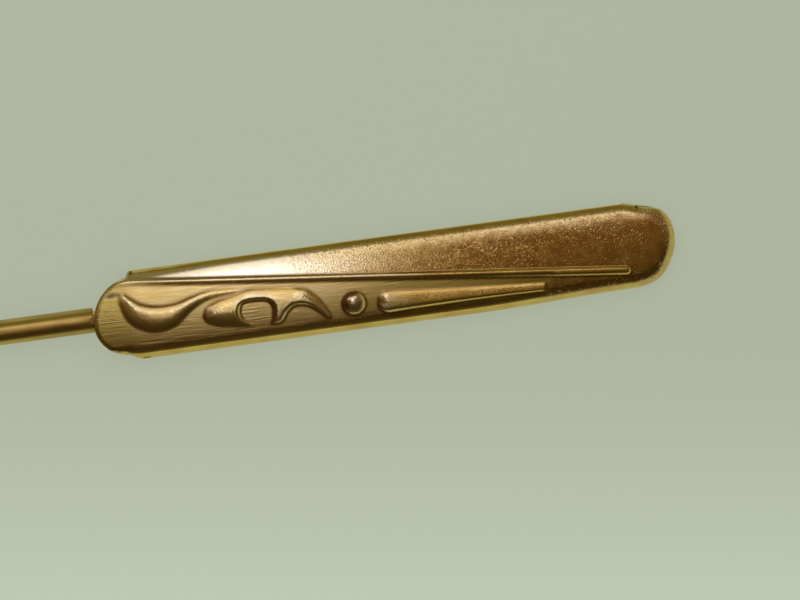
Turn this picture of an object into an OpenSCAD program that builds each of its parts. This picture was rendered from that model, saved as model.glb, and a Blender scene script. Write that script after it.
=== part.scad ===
// Hat pin: a hollow bar-shaped head of stamped sheet metal on a long pointed stem.
// X runs along the pin, from the point (-X) to the round end of the head (+X).
// Z is up, out of the stamped face. Lengths are in millimetres.
// The origin is on the stem's axis, where the stem leaves the head.

/* [Head] */
// Length of the head, from the tip of its tongue to its round end
head_len = 28; // [26:0.5:36]
// Width of the head over its folded sides
head_w = 4.2; // [4:0.1:5.2]
// Thickness of the stamped sheet
sheet_t = 0.25; // [0.2:0.01:0.3]
// Radius of the face's crown, across the head
crown_r = 7; // [5:0.5:14]
// Outer radius of the roll along the face's edges
edge_r = 0.5; // [0.4:0.05:0.6]
// How far the tongue's foremost point lies below the middle of the head
tongue_skew = 0.35; // [0:0.05:0.6]

/* [Folded sides] */
// Distance from the tongue's tip to where the folded sides start
fold_start = 1.8; // [1.4:0.1:2.6]
// Width of the lip that is turned under the back plate
lip_w = 0.9; // [0.6:0.05:1.2]
// Inner radius of the fold between a side and its lip
fold_r = 0.1; // [0.05:0.01:0.2]
// Width of the slit that parts the upper folded side from the round end
slit_w = 0.12; // [0.08:0.01:0.2]
// How far the slit is cut in from the side
slit_depth = 0.4; // [0.3:0.05:0.6]
// Distance from the slit to where the round end starts to curve
slit_shift = 0.3; // [0.1:0.05:0.6]

/* [Back plate] */
// Thickness of the back plate
back_t = 0.3; // [0.2:0.05:0.5]
// How far the back plate's tip stays behind the tongue's tip
back_inset = 0.15; // [0.1:0.05:0.6]
// Play between the back plate's long edges and the folds
back_fit = 0.02; // [0.01:0.01:0.1]

/* [Stem] */
// Diameter of the stem
stem_d = 1.2; // [0.9:0.05:1.5]
// Length of the stem that shows, from the head to the tip of the point
stem_len = 100; // [80:5:220]
// Length of the tapered point
point_len = 14; // [8:1:25]
// Diameter of the blunted tip
tip_d = 0.1; // [0.05:0.01:0.2]
// Length of the tang inside the head
tang_len = 9; // [5:0.5:14]
// Side of the square that the tang is filed to, so that it seats flat and can't turn
tang_side = 0.82; // [0.5:0.02:0.84]
// Room for solder between the tang and the face
tang_gap = 0.02; // [0.01:0.01:0.05]
// Gap between the stem's shoulder and the head
mouth_gap = 0.05; // [0.02:0.01:0.2]

/* [Solder] */
// Width of the solder fillet on each side of the tang
solder_w = 0.55; // [0.35:0.05:0.8]
// Height of the solder fillet above the back plate
solder_h = 0.4; // [0.25:0.05:0.45]
// Distance from the back plate's tip to where the solder starts
solder_inset = 0.5; // [0.4:0.05:1.5]
// Thickness of the solder at its outer edge
solder_edge = 0.03; // [0.02:0.01:0.1]

/* [Stamped relief] */
// Height of the ornament's foot line above the head's lower edge
foot_rise = 0.6; // [0.5:0.05:0.8]
// How far the ball and the drop stay above the foot line
foot_lift = 0.05; // [0.02:0.01:0.1]
// Rise of the leaf and the scroll where they are widest
leaf_rise = 0.3; // [0.2:0.02:0.5]
// Width from which the leaf and the scroll have their full rise
leaf_full_w = 1.2; // [0.8:0.05:1.6]
// Width of the diagonal bead
bead_w = 0.44; // [0.3:0.02:0.6]
// Rise of the diagonal bead
bead_rise = 0.1; // [0.08:0.01:0.25]
// Distance from the tongue's tip to the bead's narrow end
bead_start = 1.3; // [1.2:0.1:2]
// Distance from the head's round end to the bead's round end
bead_end = 2.3; // [2:0.1:5]
// Distance from the head's upper edge to the bead's narrow end
bead_top = 0.5; // [0.46:0.02:0.8]
// Distance from the head's lower edge to the bead's round end
bead_foot = 1.03; // [0.9:0.02:1.4]
// Diameter of the ball where it meets the face
ball_d = 1.16; // [0.8:0.02:1.3]
// Rise of the ball
ball_rise = 0.26; // [0.2:0.01:0.55]
// Distance from the tongue's tip to the ball's centre
ball_x = 12.4; // [12.2:0.1:13]
// Width of the drop at its round nose
drop_w = 0.98; // [0.7:0.02:1.1]
// Width of the drop at its blunt tail
drop_tail_w = 0.32; // [0.2:0.02:0.5]
// Rise of the drop at its nose
drop_rise = 0.22; // [0.15:0.01:0.45]
// How quickly the drop narrows behind its nose
drop_taper = 1.5; // [1:0.1:2.5]
// Distance from the tongue's tip to the drop's nose
drop_x = 13.5; // [13.3:0.1:15]
// Length of the drop
drop_len = 8.1; // [5:0.1:9]

/* [Hidden] */
$fn = 96;

// Steps along a leaf, along a bar, round a bar's nose and across a raised form
leaf_steps = 33;
bar_steps = 12;
nose_steps = 5;
cross_steps = 8;
// Angle off a nose's axis where its rails start
nose_turn = 8;

// How far a cut runs past what it cuts
over = 1;
half_w = head_w / 2;

// The tang's corners stay inside the round stem
tang_w = min(tang_side, 0.7 * stem_d);

// Levels, from the tang outwards
plate_top = -tang_w / 2;
plate_base = plate_top - back_t;
base_z = plate_base - sheet_t;
under_r = crown_r - sheet_t;
under_sag = under_r - sqrt(pow(under_r, 2) - pow(tang_w / 2, 2));
face_top = tang_w / 2 + tang_gap + under_sag + sheet_t;

// The crown's centre, and the roll that runs into the crown smoothly
crown_z = face_top - crown_r;
roll_y = half_w - edge_r;
roll_z = crown_z + sqrt(pow(crown_r - edge_r, 2) - pow(roll_y, 2));
roll_touch = roll_y * crown_r / (crown_r - edge_r);
fold_out_r = fold_r + sheet_t;

// The tongue is as wide as the space between the folded sides
tongue_r = half_w - sheet_t;
end_x = head_len - half_w;
slit_x = end_x + slit_shift;
plate_r = half_w - fold_out_r - back_fit;
solder_x = back_inset + solder_inset;

// The relief's foot line, and how deep its forms reach into the sheet
foot_y = -half_w + foot_rise;
ball_y = foot_y + foot_lift + ball_d / 2;
relief_sink = sheet_t / 2;
relief_dip = 0.03;

// Height of the face's outside at a distance y from the middle
function face_z(y) =
    let (a = abs(y))
    a <= roll_touch ? crown_z + sqrt(pow(crown_r, 2) - a * a)
    : a < half_w ? roll_z + sqrt(pow(edge_r, 2) - pow(a - roll_y, 2))
    : roll_z;

// A smooth curve through the points p, in n steps
function curve_point(p, i, t) =
    let (a = p[max(i - 1, 0)], b = p[i], c = p[i + 1], d = p[min(i + 2, len(p) - 1)])
    0.5 * (2 * b + (c - a) * t + (2 * a - 5 * b + 4 * c - d) * t * t
        + (3 * b - a - 3 * c + d) * t * t * t);
function curve(p, n) =
    [for (k = [0:n])
        let (s = k * (len(p) - 1) / n, i = min(floor(s), len(p) - 2))
        curve_point(p, i, s - i)];

// Points given by their distance along the head and their height above the foot line
function on_foot(p) = [for (q = p) [q[0], q[1] + foot_y]];

// Rails of the leaf: its full side and its hollow side, from the tip to the tail
leaf_full = [[1.4, 2.5], [1.37, 1.95], [1.75, 1.06], [2.75, 0.53],
    [3.85, 0.67], [4.7, 1.3], [5.55, 1.73], [6.8, 1.88]];
leaf_hollow = [[1.47, 2.64], [1.9, 2.33], [2.4, 1.98], [3.1, 1.8],
    [3.95, 1.81], [4.75, 2], [5.65, 2.15], [6.8, 1.98]];

// Rails of the scroll: round its eye and round its outside, from the foot to the tail
scroll_inner = [[7.62, 0.26], [7.28, 0.4], [7.06, 0.62], [7, 0.85], [7.02, 1.05], [7.1, 1.24], [7.3, 1.34],
    [7.75, 1.35], [8.25, 1.3], [8.9, 1], [9.55, 0.82], [10.1, 0.82], [10.55, 0.56], [11, 0.12]];
scroll_outer = [[7.62, 0.2], [6.6, 0.28], [5.7, 0.48], [5.22, 0.82], [5.4, 1.35], [5.9, 1.62], [6.6, 1.78],
    [7.5, 2], [8.5, 1.92], [9.4, 1.82], [10.1, 1.68], [10.5, 1.38], [10.9, 0.9], [11.3, 0.1]];

// Rails of the leg that closes the scroll's eye
leg_eye = [[8.25, 1.3], [8.5, 1.08], [8.53, 0.75], [8.45, 0.4], [8.3, 0.14]];
leg_arch = [[9.6, 0.85], [9.3, 0.66], [9.12, 0.45], [9, 0.28], [8.8, 0.13]];

// Half the width of a bar at the share t of its length behind the nose
function bar_half(t, w0, w1, taper) = (w1 + (w0 - w1) * pow(1 - t, taper)) / 2;

// One rail of a bar with a round nose at c0, tapering to a blunt end at c1
function bar_rail(c0, c1, w0, w1, taper, side) =
    let (d = (c1 - c0) / norm(c1 - c0), n = side * [d[1], -d[0]])
    concat(
        [for (k = [0:nose_steps - 1])
            let (turn = nose_turn + (90 - nose_turn) * k / nose_steps)
            c0 - d * cos(turn) * w0 / 2 + n * sin(turn) * w0 / 2],
        [for (k = [0:bar_steps])
            let (t = k / bar_steps)
            c0 + (c1 - c0) * t + n * bar_half(t, w0, w1, taper)]);

// Filled outline across the head, drawn inset from its outside
module section(inset) {
    reach = (crown_r + over) / (crown_r - edge_r);
    reach_z = crown_z + (roll_z - crown_z) * reach;
    intersection() {
        translate([0, crown_z]) circle(crown_r - inset);
        polygon([[-roll_y, roll_z], [roll_y, roll_z],
            [roll_y * reach, reach_z], [-roll_y * reach, reach_z]]);
    }
    for (side = [-1, 1]) {
        translate([side * roll_y, roll_z]) circle(edge_r - inset);
        translate([side * (half_w - fold_out_r), base_z + fold_out_r]) circle(fold_out_r - inset);
    }
    translate([-half_w + inset, base_z + fold_out_r])
        square([head_w - 2 * inset, roll_z - base_z - fold_out_r]);
    translate([-half_w + fold_out_r, base_z + inset])
        square([head_w - 2 * fold_out_r, fold_out_r]);
}

// The sheet's own section, closed all round
module sheet_section() {
    difference() {
        section(0);
        section(sheet_t);
    }
}

// Moves a piece from the tongue's tip to its place in front of the stem's shoulder
module in_head() {
    translate([mouth_gap, 0, 0]) children();
}

// Carries a section along X
module along(x0, x1) {
    translate([x0, 0, 0]) rotate([90, 0, 90]) linear_extrude(x1 - x0) children();
}

// Outline of the tongue: two quarter circles of different size that meet at its foremost point
module tongue_outline() {
    translate([0, -tongue_skew]) for (side = [-1, 1]) {
        r = tongue_r + side * tongue_skew;
        low = min(side * r, 0);
        intersection() {
            translate([r, 0]) circle(r);
            translate([0, low]) square(r);
        }
        translate([r, low]) square([head_len - r, r]);
    }
}

// Tongue of the face, round at its tip
module tongue() {
    tall = face_top - base_z;
    intersection() {
        along(0, fold_start) intersection() {
            sheet_section();
            translate([-half_w, roll_z]) square([head_w, tall]);
        }
        translate([0, 0, base_z]) linear_extrude(tall + over) tongue_outline();
    }
}

// Face, folded sides and lips, open along the back
module folded_body() {
    along(fold_start, end_x) difference() {
        sheet_section();
        translate([-half_w + lip_w, base_z - over]) square([head_w - 2 * lip_w, sheet_t + over]);
    }
}

// Round end, drawn down to the level of the back plate's underside
module round_end() {
    translate([end_x, 0, 0]) rotate([0, 0, -90]) rotate_extrude(angle = 180) intersection() {
        sheet_section();
        translate([0, plate_base]) square([head_w, face_top - plate_base + over]);
    }
}

// Slit that parts the upper folded side from the round end
module slit() {
    translate([slit_x, half_w - slit_depth / 2 + over / 2, 0])
        cube([slit_w, slit_depth + over, head_w], center = true);
}

// A raised form between two rails, domed across, whose edges dip into the face
module raised(rail_a, rail_b, rise, full_w) {
    n = len(rail_a) - 1;
    m = cross_steps;
    row = m + 3;
    points = [for (k = [0:n])
        let (a = rail_a[k], b = rail_b[k], h = rise * min(1, sqrt(norm(b - a) / full_w)))
        each concat(
            [for (j = [0:m])
                let (q = a + (b - a) * (1 - cos(180 * j / m)) / 2)
                [q[0], q[1], face_z(q[1]) - relief_dip + (h + relief_dip) * sin(180 * j / m)]],
            [[b[0], b[1], face_z(b[1]) - relief_sink], [a[0], a[1], face_z(a[1]) - relief_sink]])];
    skin = [for (k = [0:n - 1], j = [0:row - 1])
        let (p = k * row + j, q = k * row + (j + 1) % row)
        each [[p, q, p + row], [q, q + row, p + row]]];
    ends = [for (j = [1:row - 2])
        each [[0, j + 1, j], [n * row, n * row + j, n * row + j + 1]]];
    polyhedron(points, concat(skin, ends), convexity = 6);
}

module leaf() {
    raised(curve(on_foot(leaf_full), leaf_steps), curve(on_foot(leaf_hollow), leaf_steps),
        leaf_rise, leaf_full_w);
}

module scroll() {
    raised(curve(on_foot(scroll_inner), leaf_steps), curve(on_foot(scroll_outer), leaf_steps),
        leaf_rise, leaf_full_w);
    raised(curve(on_foot(leg_eye), bar_steps), curve(on_foot(leg_arch), bar_steps),
        leaf_rise, leaf_full_w);
}

// Diagonal bead, from its round end to its narrow end
module bead() {
    c0 = [head_len - bead_end - bead_w / 2, -half_w + bead_foot];
    c1 = [bead_start, half_w - bead_top];
    raised(bar_rail(c0, c1, bead_w, bead_w, 1, 1), bar_rail(c0, c1, bead_w, bead_w, 1, -1),
        bead_rise, bead_w);
}

// Long drop, from its round nose to its blunt tail, with its lower edge along the foot line
module drop() {
    c0 = [drop_x + drop_w / 2, foot_y + foot_lift + drop_w / 2];
    c1 = [drop_x + drop_len, foot_y + foot_lift + drop_tail_w / 2];
    raised(bar_rail(c0, c1, drop_w, drop_tail_w, drop_taper, 1),
        bar_rail(c0, c1, drop_w, drop_tail_w, drop_taper, -1), drop_rise, drop_w);
}

// Ball, a cap of a sphere that stands on the face
module ball() {
    ball_r = (pow(ball_d / 2, 2) + pow(ball_rise, 2)) / (2 * ball_rise);
    translate([ball_x, ball_y, face_z(ball_y)]) intersection() {
        translate([0, 0, ball_rise - ball_r]) sphere(ball_r);
        translate([-ball_d, -ball_d, -relief_sink]) cube([2 * ball_d, 2 * ball_d, head_w]);
    }
}

// Stamped face with its folded sides, round end and relief, all of one sheet
module face_shell() {
    color("goldenrod") in_head() {
        difference() {
            union() {
                tongue();
                folded_body();
                round_end();
            }
            slit();
        }
        leaf();
        scroll();
        bead();
        drop();
        ball();
    }
}

// Plain strip that closes the back and lies on the lips
module back_plate() {
    color("darkkhaki") in_head() translate([0, 0, plate_base]) {
        for (x = [back_inset + plate_r, end_x])
            translate([x, 0, 0]) cylinder(r = plate_r, h = back_t);
        translate([back_inset + plate_r, -plate_r, 0])
            cube([end_x - back_inset - plate_r, 2 * plate_r, back_t]);
    }
}

// Round wire with a long point and a square tang
module stem() {
    shaft_len = stem_len - point_len;
    color("khaki") {
        rotate([0, -90, 0]) {
            cylinder(d = stem_d, h = shaft_len);
            translate([0, 0, shaft_len]) cylinder(d1 = stem_d, d2 = tip_d, h = point_len);
        }
        translate([0, -tang_w / 2, -tang_w / 2]) cube([mouth_gap + tang_len, tang_w, tang_w]);
    }
}

// Solder run along both sides of the tang, hollow between the tang and the back plate
module stem_solder() {
    color("silver") in_head() along(solder_x, tang_len) for (side = [0, 1]) mirror([side, 0])
        difference() {
            translate([tang_w / 2, plate_top]) square([solder_w, solder_h]);
            translate([tang_w / 2 + solder_w, plate_top + solder_w + solder_edge])
                circle(solder_w);
        }
}

face_shell();
back_plate();
stem();
stem_solder();
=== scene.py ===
# %% [markdown]
# # A stamped hat pin
#
# The pin is a hollow bar of thin gold-coloured sheet on a long pointed wire. The sheet was struck in a
# die, so that a leaf, a scroll, a ball and a drop stand up from it, and then folded over a plain strip.
# The CAD model holds every piece at its real place and size, and this lesson gives each one its surface
# and its finish. Everything is worked out in millimetres and turned into metres when a mesh is made.

# %% Load the frame
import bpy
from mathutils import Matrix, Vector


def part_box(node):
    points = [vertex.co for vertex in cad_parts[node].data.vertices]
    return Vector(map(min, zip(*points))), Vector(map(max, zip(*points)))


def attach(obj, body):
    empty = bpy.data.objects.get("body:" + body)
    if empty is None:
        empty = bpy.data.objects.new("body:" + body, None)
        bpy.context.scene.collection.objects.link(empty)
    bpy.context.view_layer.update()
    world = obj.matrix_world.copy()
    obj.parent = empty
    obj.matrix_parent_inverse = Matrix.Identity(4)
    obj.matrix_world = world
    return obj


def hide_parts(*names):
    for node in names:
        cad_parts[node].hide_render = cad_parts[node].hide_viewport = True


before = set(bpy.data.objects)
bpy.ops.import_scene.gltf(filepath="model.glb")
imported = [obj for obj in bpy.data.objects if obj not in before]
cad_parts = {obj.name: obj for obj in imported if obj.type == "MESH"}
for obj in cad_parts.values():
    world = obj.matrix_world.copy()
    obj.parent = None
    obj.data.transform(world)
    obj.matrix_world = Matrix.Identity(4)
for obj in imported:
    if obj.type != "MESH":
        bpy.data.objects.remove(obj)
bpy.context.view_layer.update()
print("nodes:", sorted(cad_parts))

# %% Tools and units
from types import SimpleNamespace

import bpy
import numpy as np

MM = 0.001


def box_mm(node):
    """The lowest and highest corner of a CAD node, in millimetres."""
    return [np.array(corner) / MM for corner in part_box(node)]


face_low, face_high = box_mm("face_shell")
plate_low, plate_high = box_mm("back_plate")
stem_low, stem_high = box_mm("stem")
solder_low, solder_high = box_mm("stem_solder")
print("head from", face_low.round(2), "to", face_high.round(2))

# %% [markdown]
# ## The sizes that everything follows
#
# Most sizes come straight from the boxes of the CAD nodes, so a resized part still gets a fitting dress.
# A box can't say how strongly the face is crowned or how tightly its edge is rolled, so those few radii
# are named here. Places along the head are counted from the tip of its tongue.

# %% Sizes of the head
head_x = face_low[0]
head_len = face_high[0] - face_low[0]
half_w = face_high[1]
base_z = face_low[2]
plate_base = plate_low[2]
plate_top = plate_high[2]
sheet_t = plate_base - base_z
crown_r = 7.0
roll_r = 0.88
corner_lean = 0.7
high_corner_r = 0.14
fold_r = 0.1
lip_w = 0.9
tang_half = -plate_top
tang_gap = 0.02
under_r = crown_r - sheet_t
face_top = tang_half + tang_gap + under_r - np.sqrt(under_r**2 - tang_half**2) + sheet_t
crown_z = face_top - crown_r
fold_out_r = fold_r + sheet_t
tongue_r = half_w - sheet_t
end_x = head_len - half_w
print("crown top at", round(face_top, 3), "round end starts at", round(end_x, 3))

# %% [markdown]
# ## Putting a surface into Blender
#
# Every piece below is a set of points worked out as whole arrays, with faces that join them. One helper
# turns them into a mesh, smooths the shading but keeps real corners sharp, parents the new piece to the
# part's root body and hides the CAD node it stands for. The piece itself stays at the origin, because its
# place is in its points.

# %% A helper for new pieces
CORNER = np.radians(70)


def make_piece(name, points, faces, node, slot):
    """A mesh object from points in millimetres, riding on the part's root body, with the CAD node it stands
    for hidden.
    """
    mesh = bpy.data.meshes.new(name)
    mesh.from_pydata((points * MM).tolist(), [], faces)
    mesh.polygons.foreach_set("use_smooth", np.ones(len(mesh.polygons), bool))
    mesh.set_sharp_from_angle(angle=CORNER)
    mesh.update()
    piece = bpy.data.objects.new(name, mesh)
    bpy.context.scene.collection.objects.link(piece)
    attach(piece, "root")
    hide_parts(node)
    mesh.calc_loop_triangles()
    print(name, "has", len(mesh.loop_triangles), "triangles")
    return piece


# %% [markdown]
# ## The camera
#
# The head is seen square from above and turned a little, so that its round end points up to the right.
# The lens is long, so the face and the rim lower down keep nearly the same scale. A millimetre is set to
# its number of pixels halfway between the two.

# %% Camera over the face
IMAGE_W = 800
PIXELS_PER_MM = 21.0
HEAD_TURN = np.radians(7.74)
VIEW_CENTRE = np.array([14.59, -1.02])
CAMERA_HEIGHT = 200.0
SENSOR = 36.0

camera_data = bpy.data.cameras.new("camera")
camera_data.sensor_width = SENSOR
camera_data.lens = SENSOR * CAMERA_HEIGHT * PIXELS_PER_MM / IMAGE_W
camera_data.clip_start = 0.01
camera_data.clip_end = 10
camera = bpy.data.objects.new("camera", camera_data)
camera.location = np.array([head_x + VIEW_CENTRE[0], VIEW_CENTRE[1], face_top / 2 + CAMERA_HEIGHT]) * MM
camera.rotation_euler = (0, 0, -HEAD_TURN)
bpy.context.scene.collection.objects.link(camera)
bpy.context.scene.camera = camera
bpy.context.scene.view_settings.view_transform = "Standard"
print("lens", round(camera_data.lens, 1), "mm")

# %% [markdown]
# ## Shader sums in Python
#
# A finish is a net of nodes. Writing `0.3 + 0.2 * streaks` is easier to read than wiring up Math nodes by
# hand, so one small class holds a socket and turns Python's operators into those nodes. Any other node
# comes from its `node` method: the settings go in first, then the values or links of the sockets.


# %% A socket that can be summed
class Wire:
    """One socket in a node tree. Sums on wires add Math nodes, also with the number in front."""

    def __init__(self, tree, socket=None):
        self.tree = tree
        self.socket = socket

    def node(self, kind, settings=None, sockets=None, out=0):
        """Adds a node, sets its settings, fills or links its sockets, and returns one output."""
        made = self.tree.nodes.new(kind)
        for name, value in (settings or {}).items():
            setattr(made, name, value)
        for name, value in (sockets or {}).items():
            if isinstance(value, Wire):
                self.tree.links.new(value.socket, made.inputs[name])
            else:
                made.inputs[name].default_value = value
        return Wire(self.tree, made.outputs[out] if made.outputs else None)

    def math(self, operation, first, second):
        """Adds a Math node for two wires or numbers."""
        return self.node("ShaderNodeMath", {"operation": operation}, {0: first, 1: second})

    def __add__(self, other):
        return self.math("ADD", self, other)

    def __sub__(self, other):
        return self.math("SUBTRACT", self, other)

    def __rsub__(self, other):
        return self.math("SUBTRACT", other, self)

    def __mul__(self, other):
        return self.math("MULTIPLY", self, other)

    __radd__ = __add__
    __rmul__ = __mul__

    def step(self, low, high):
        """Climbs smoothly from 0 where this wire is at low to 1 where it is at high."""
        limits = {"Value": self, "From Min": low, "From Max": high}
        return self.node("ShaderNodeMapRange", {"interpolation_type": "SMOOTHSTEP"}, limits)

    def blend(self, first, second):
        """The first colour where this wire is 0, the second where it is 1."""
        colours = {0: self, 6: first, 7: second}
        return self.node("ShaderNodeMix", {"data_type": "RGBA"}, colours, out=2)

    def stretch(self, along, across, up):
        """This vector with each of its parts multiplied by its own number."""
        parts = {0: self, 1: (along, across, up)}
        return self.node("ShaderNodeVectorMath", {"operation": "MULTIPLY"}, parts)

    def reach(self, direction):
        """How far this vector goes in a direction: their dot product."""
        pair = {0: self, 1: direction}
        return self.node("ShaderNodeVectorMath", {"operation": "DOT_PRODUCT"}, pair, "Value")

    def part(self, axis):
        """The part of this vector along X, Y or Z."""
        return self.node("ShaderNodeSeparateXYZ", {}, {"Vector": self}, axis)

    def noise(self, detail=2.0, rough=0.5):
        """Soft cloudy noise from 0 to 1, one cloud for each unit of this vector."""
        sockets = {"Vector": self, "Scale": 1.0, "Detail": detail, "Roughness": rough}
        return self.node("ShaderNodeTexNoise", {}, sockets, out="Fac")


def colour(red, green, blue):
    """A colour as a socket takes it, with full cover."""
    return (red, green, blue, 1.0)


# %% [markdown]
# ## Floor, surroundings and light
#
# Polished metal mostly shows the room round it, tinted by its own colour. So the room is planned first. The
# floor is plain grey-green paper with painted light: its colour grows paler on the near side. The room is
# pale low on the right, olive low behind, dim on the other sides, and warm and dark overhead. A soft panel
# over the left half gives the broad white sheen on the plain part of the face, a second one lights the
# ground round the ornament, and a wide dim one behind them draws the thin line along the upper edge. A last,
# very large panel lights the floor and is kept out of the metal's reflections.

# %% Floor
FLOOR_COLOUR = colour(0.437, 0.482, 0.36)
FLOOR_NEAR_PAINTED_LIGHT = colour(0.564, 0.636, 0.51)
FLOOR_GLOW = 0.8
FLOOR_HALF = 3000.0
FLOOR_GAP = 0.005
NEAR_SIDE = (-np.sin(HEAD_TURN), -np.cos(HEAD_TURN), 0)
NEAR_FULL = 20.0


def new_material(name):
    """An empty material and the wire that starts its nodes."""
    material = bpy.data.materials.new(name)
    material.use_nodes = True
    material.node_tree.nodes.clear()
    return material, Wire(material.node_tree)


def floor_piece():
    """A flat square just under the head, painted paler on the near side as a band of light."""
    corners = np.array([[-1, -1], [1, -1], [1, 1], [-1, 1]]) * FLOOR_HALF
    points = np.column_stack([corners, np.full(4, base_z - FLOOR_GAP)])
    mesh = bpy.data.meshes.new("floor")
    mesh.from_pydata((points * MM).tolist(), [], [(0, 1, 2, 3)])
    floor = bpy.data.objects.new("floor", mesh)
    bpy.context.scene.collection.objects.link(floor)
    material, start = new_material("floor_paper")
    # Painted light: the floor's colour grows paler on the near side.
    near = start.node("ShaderNodeTexCoord", {}, {}, "Object").reach(NEAR_SIDE).step(0, NEAR_FULL * MM)
    tone = near.blend(FLOOR_COLOUR, FLOOR_NEAR_PAINTED_LIGHT)
    sockets = {"Base Color": tone, "Roughness": 0.9, "Specular IOR Level": 0.1}
    paper = start.node("ShaderNodeBsdfPrincipled", {}, sockets)
    glow = start.node("ShaderNodeEmission", {}, {"Color": tone, "Strength": 1.0})
    seen = start.node("ShaderNodeLightPath", {}, {}, "Is Camera Ray")
    mirrored = start.node("ShaderNodeLightPath", {}, {}, "Is Glossy Ray")
    through = start.node("ShaderNodeLightPath", {}, {}, "Is Transmission Ray")
    share = FLOOR_GLOW * (seen + mirrored + through)
    surface = start.node("ShaderNodeMixShader", {}, {0: share, 1: paper, 2: glow})
    start.node("ShaderNodeOutputMaterial", {}, {"Surface": surface})
    mesh.materials.append(material)


floor_piece()
print("floor at", round(base_z - FLOOR_GAP, 3), "mm")

# %% Surroundings
OVERHEAD_FRONT = colour(0.05, 0.036, 0.018)
CEILING = colour(0.13, 0.095, 0.044)
OVERHEAD_BACK = colour(0.165, 0.107, 0.05)
HORIZON_PALE = colour(0.46, 0.5, 0.37)
HORIZON_DIM = colour(0.12, 0.1, 0.045)
REAR_OLIVE = colour(0.18, 0.165, 0.075)
PALE_SIDE = (0.99, 0.1, 0.0)
PALE_SPAN = (0.3, 0.85)
PALE_TOP = 0.15
CEILING_SPAN = (0.82, 0.97)
BACK_SPAN = (-0.3, 0.2)
SKY_SPAN = (0.02, 0.3)
OLIVE_SPAN = (0.66, 0.78)


def make_surroundings():
    """A sky that is warm and dark overhead, pale low on the right, dim elsewhere and olive low behind."""
    world = bpy.data.worlds.new("room")
    bpy.context.scene.world = world
    world.use_nodes = True
    world.node_tree.nodes.clear()
    start = Wire(world.node_tree)
    direction = start.node("ShaderNodeTexCoord", {}, {}, "Generated")
    rearward = direction.part("Y")
    height = direction.part("Z")
    pale = direction.reach(PALE_SIDE).step(*PALE_SPAN)
    horizon = pale.blend(HORIZON_DIM, HORIZON_PALE)
    front = height.step(*CEILING_SPAN).blend(OVERHEAD_FRONT, CEILING)
    overhead = rearward.step(*BACK_SPAN).blend(front, OVERHEAD_BACK)
    sky = (height - PALE_TOP * pale).step(*SKY_SPAN).blend(horizon, overhead)
    sky = rearward.step(*OLIVE_SPAN).blend(sky, REAR_OLIVE)
    background = start.node("ShaderNodeBackground", {}, {"Color": sky, "Strength": 1.0})
    start.node("ShaderNodeOutputWorld", {}, {"Surface": background})


make_surroundings()
print("room colours set")


# %% Soft panels
def soft_panel(name, centre, size, brightness, tint=(1, 1, 1), mirrored=True):
    """A rectangular lamp facing down, given by its brightness, so its power is pi x area x that."""
    lamp = bpy.data.lights.new(name, "AREA")
    lamp.shape = "RECTANGLE"
    lamp.size = size[0] * MM
    lamp.size_y = size[1] * MM
    lamp.energy = np.pi * lamp.size * lamp.size_y * brightness
    lamp.color = tint
    panel = bpy.data.objects.new(name, lamp)
    panel.location = np.array(centre) * MM
    panel.visible_camera = False
    panel.visible_glossy = mirrored
    bpy.context.scene.collection.objects.link(panel)


DAYLIGHT = (0.78, 0.8, 1.0)
soft_panel("sheen_panel", (3.1, 24, 75), (11, 25), 3.2, DAYLIGHT)
soft_panel("low_panel", (4, -1, 75), (7, 25), 1.9, DAYLIGHT)
soft_panel("edge_panel", (-10, 52.5, 75), (116, 29.5), 1.15, DAYLIGHT)
soft_panel("floor_panel", (15, -100, 900), (2400, 2400), 1.0, mirrored=False)
print("panels:", [lamp.name for lamp in bpy.data.lights])

# %% [markdown]
# ## The head's section
#
# Across the head the sheet rises in a shallow crown, turns down in a roll, runs straight down the side,
# folds under and ends in a lip. Along the upper side the roll ends in a tighter corner, as if pressed
# flatter there, and along the lower side it stays broad. All these stretches meet smoothly, so a few
# circles and lines give the height and the lean of the sheet at every distance from the middle.


# %% Height and lean of the plain face
def roll_arcs(side):
    """Where the roll and the corner after it have their centres, and the corner's radius.

    The corner starts where the lean is corner_lean. Its radius is roll_r where side is -1 and
    high_corner_r where it is 1. The roll's circle touches the crown's from inside.
    """
    arcs = SimpleNamespace(corner_r=roll_r + (high_corner_r - roll_r) * (side + 1) / 2)
    arcs.roll_y = half_w - corner_lean * roll_r - (1 - corner_lean) * arcs.corner_r
    arcs.roll_z = crown_z + np.sqrt((crown_r - roll_r) ** 2 - arcs.roll_y**2)
    arcs.corner_y = half_w - arcs.corner_r
    arcs.corner_z = arcs.roll_z + (roll_r - arcs.corner_r) * np.sqrt(1 - corner_lean**2)
    return arcs


def face_lean(away, side):
    """How far the outside leans away from level, as the sine of its slope: the most of three circles."""
    arcs = roll_arcs(side)
    past_crown = np.maximum((away - arcs.roll_y) / roll_r, (away - arcs.corner_y) / arcs.corner_r)
    return np.maximum(away / crown_r, past_crown)


def on_roll(lean, side):
    """Distance from the middle and height of the roll, or of the corner, where the sheet leans so far."""
    arcs = roll_arcs(side)
    up = np.sqrt(np.maximum(1 - lean**2, 0))
    on_corner = lean > corner_lean
    away = np.where(on_corner, arcs.corner_y + arcs.corner_r * lean, arcs.roll_y + roll_r * lean)
    return away, np.where(on_corner, arcs.corner_z + arcs.corner_r * up, arcs.roll_z + roll_r * up)


def face_height(away, side):
    """Height of the face's outside: the crown's circle as far as it touches the roll, then the roll's."""
    touch = roll_arcs(side).roll_y * crown_r / (crown_r - roll_r)
    crown = crown_z + np.sqrt(crown_r**2 - np.minimum(away, touch) ** 2)
    return np.where(away <= touch, crown, on_roll(face_lean(away, side), side)[1])


print("face height in the middle and at the rim:", face_height(np.array([0.0, tongue_r]), 1).round(3))

# %% Wall, fold and lip
ROLL_POINTS = 13
WALL_POINTS = 3
FOLD_POINTS = 6
LIP_POINTS = 3


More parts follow.
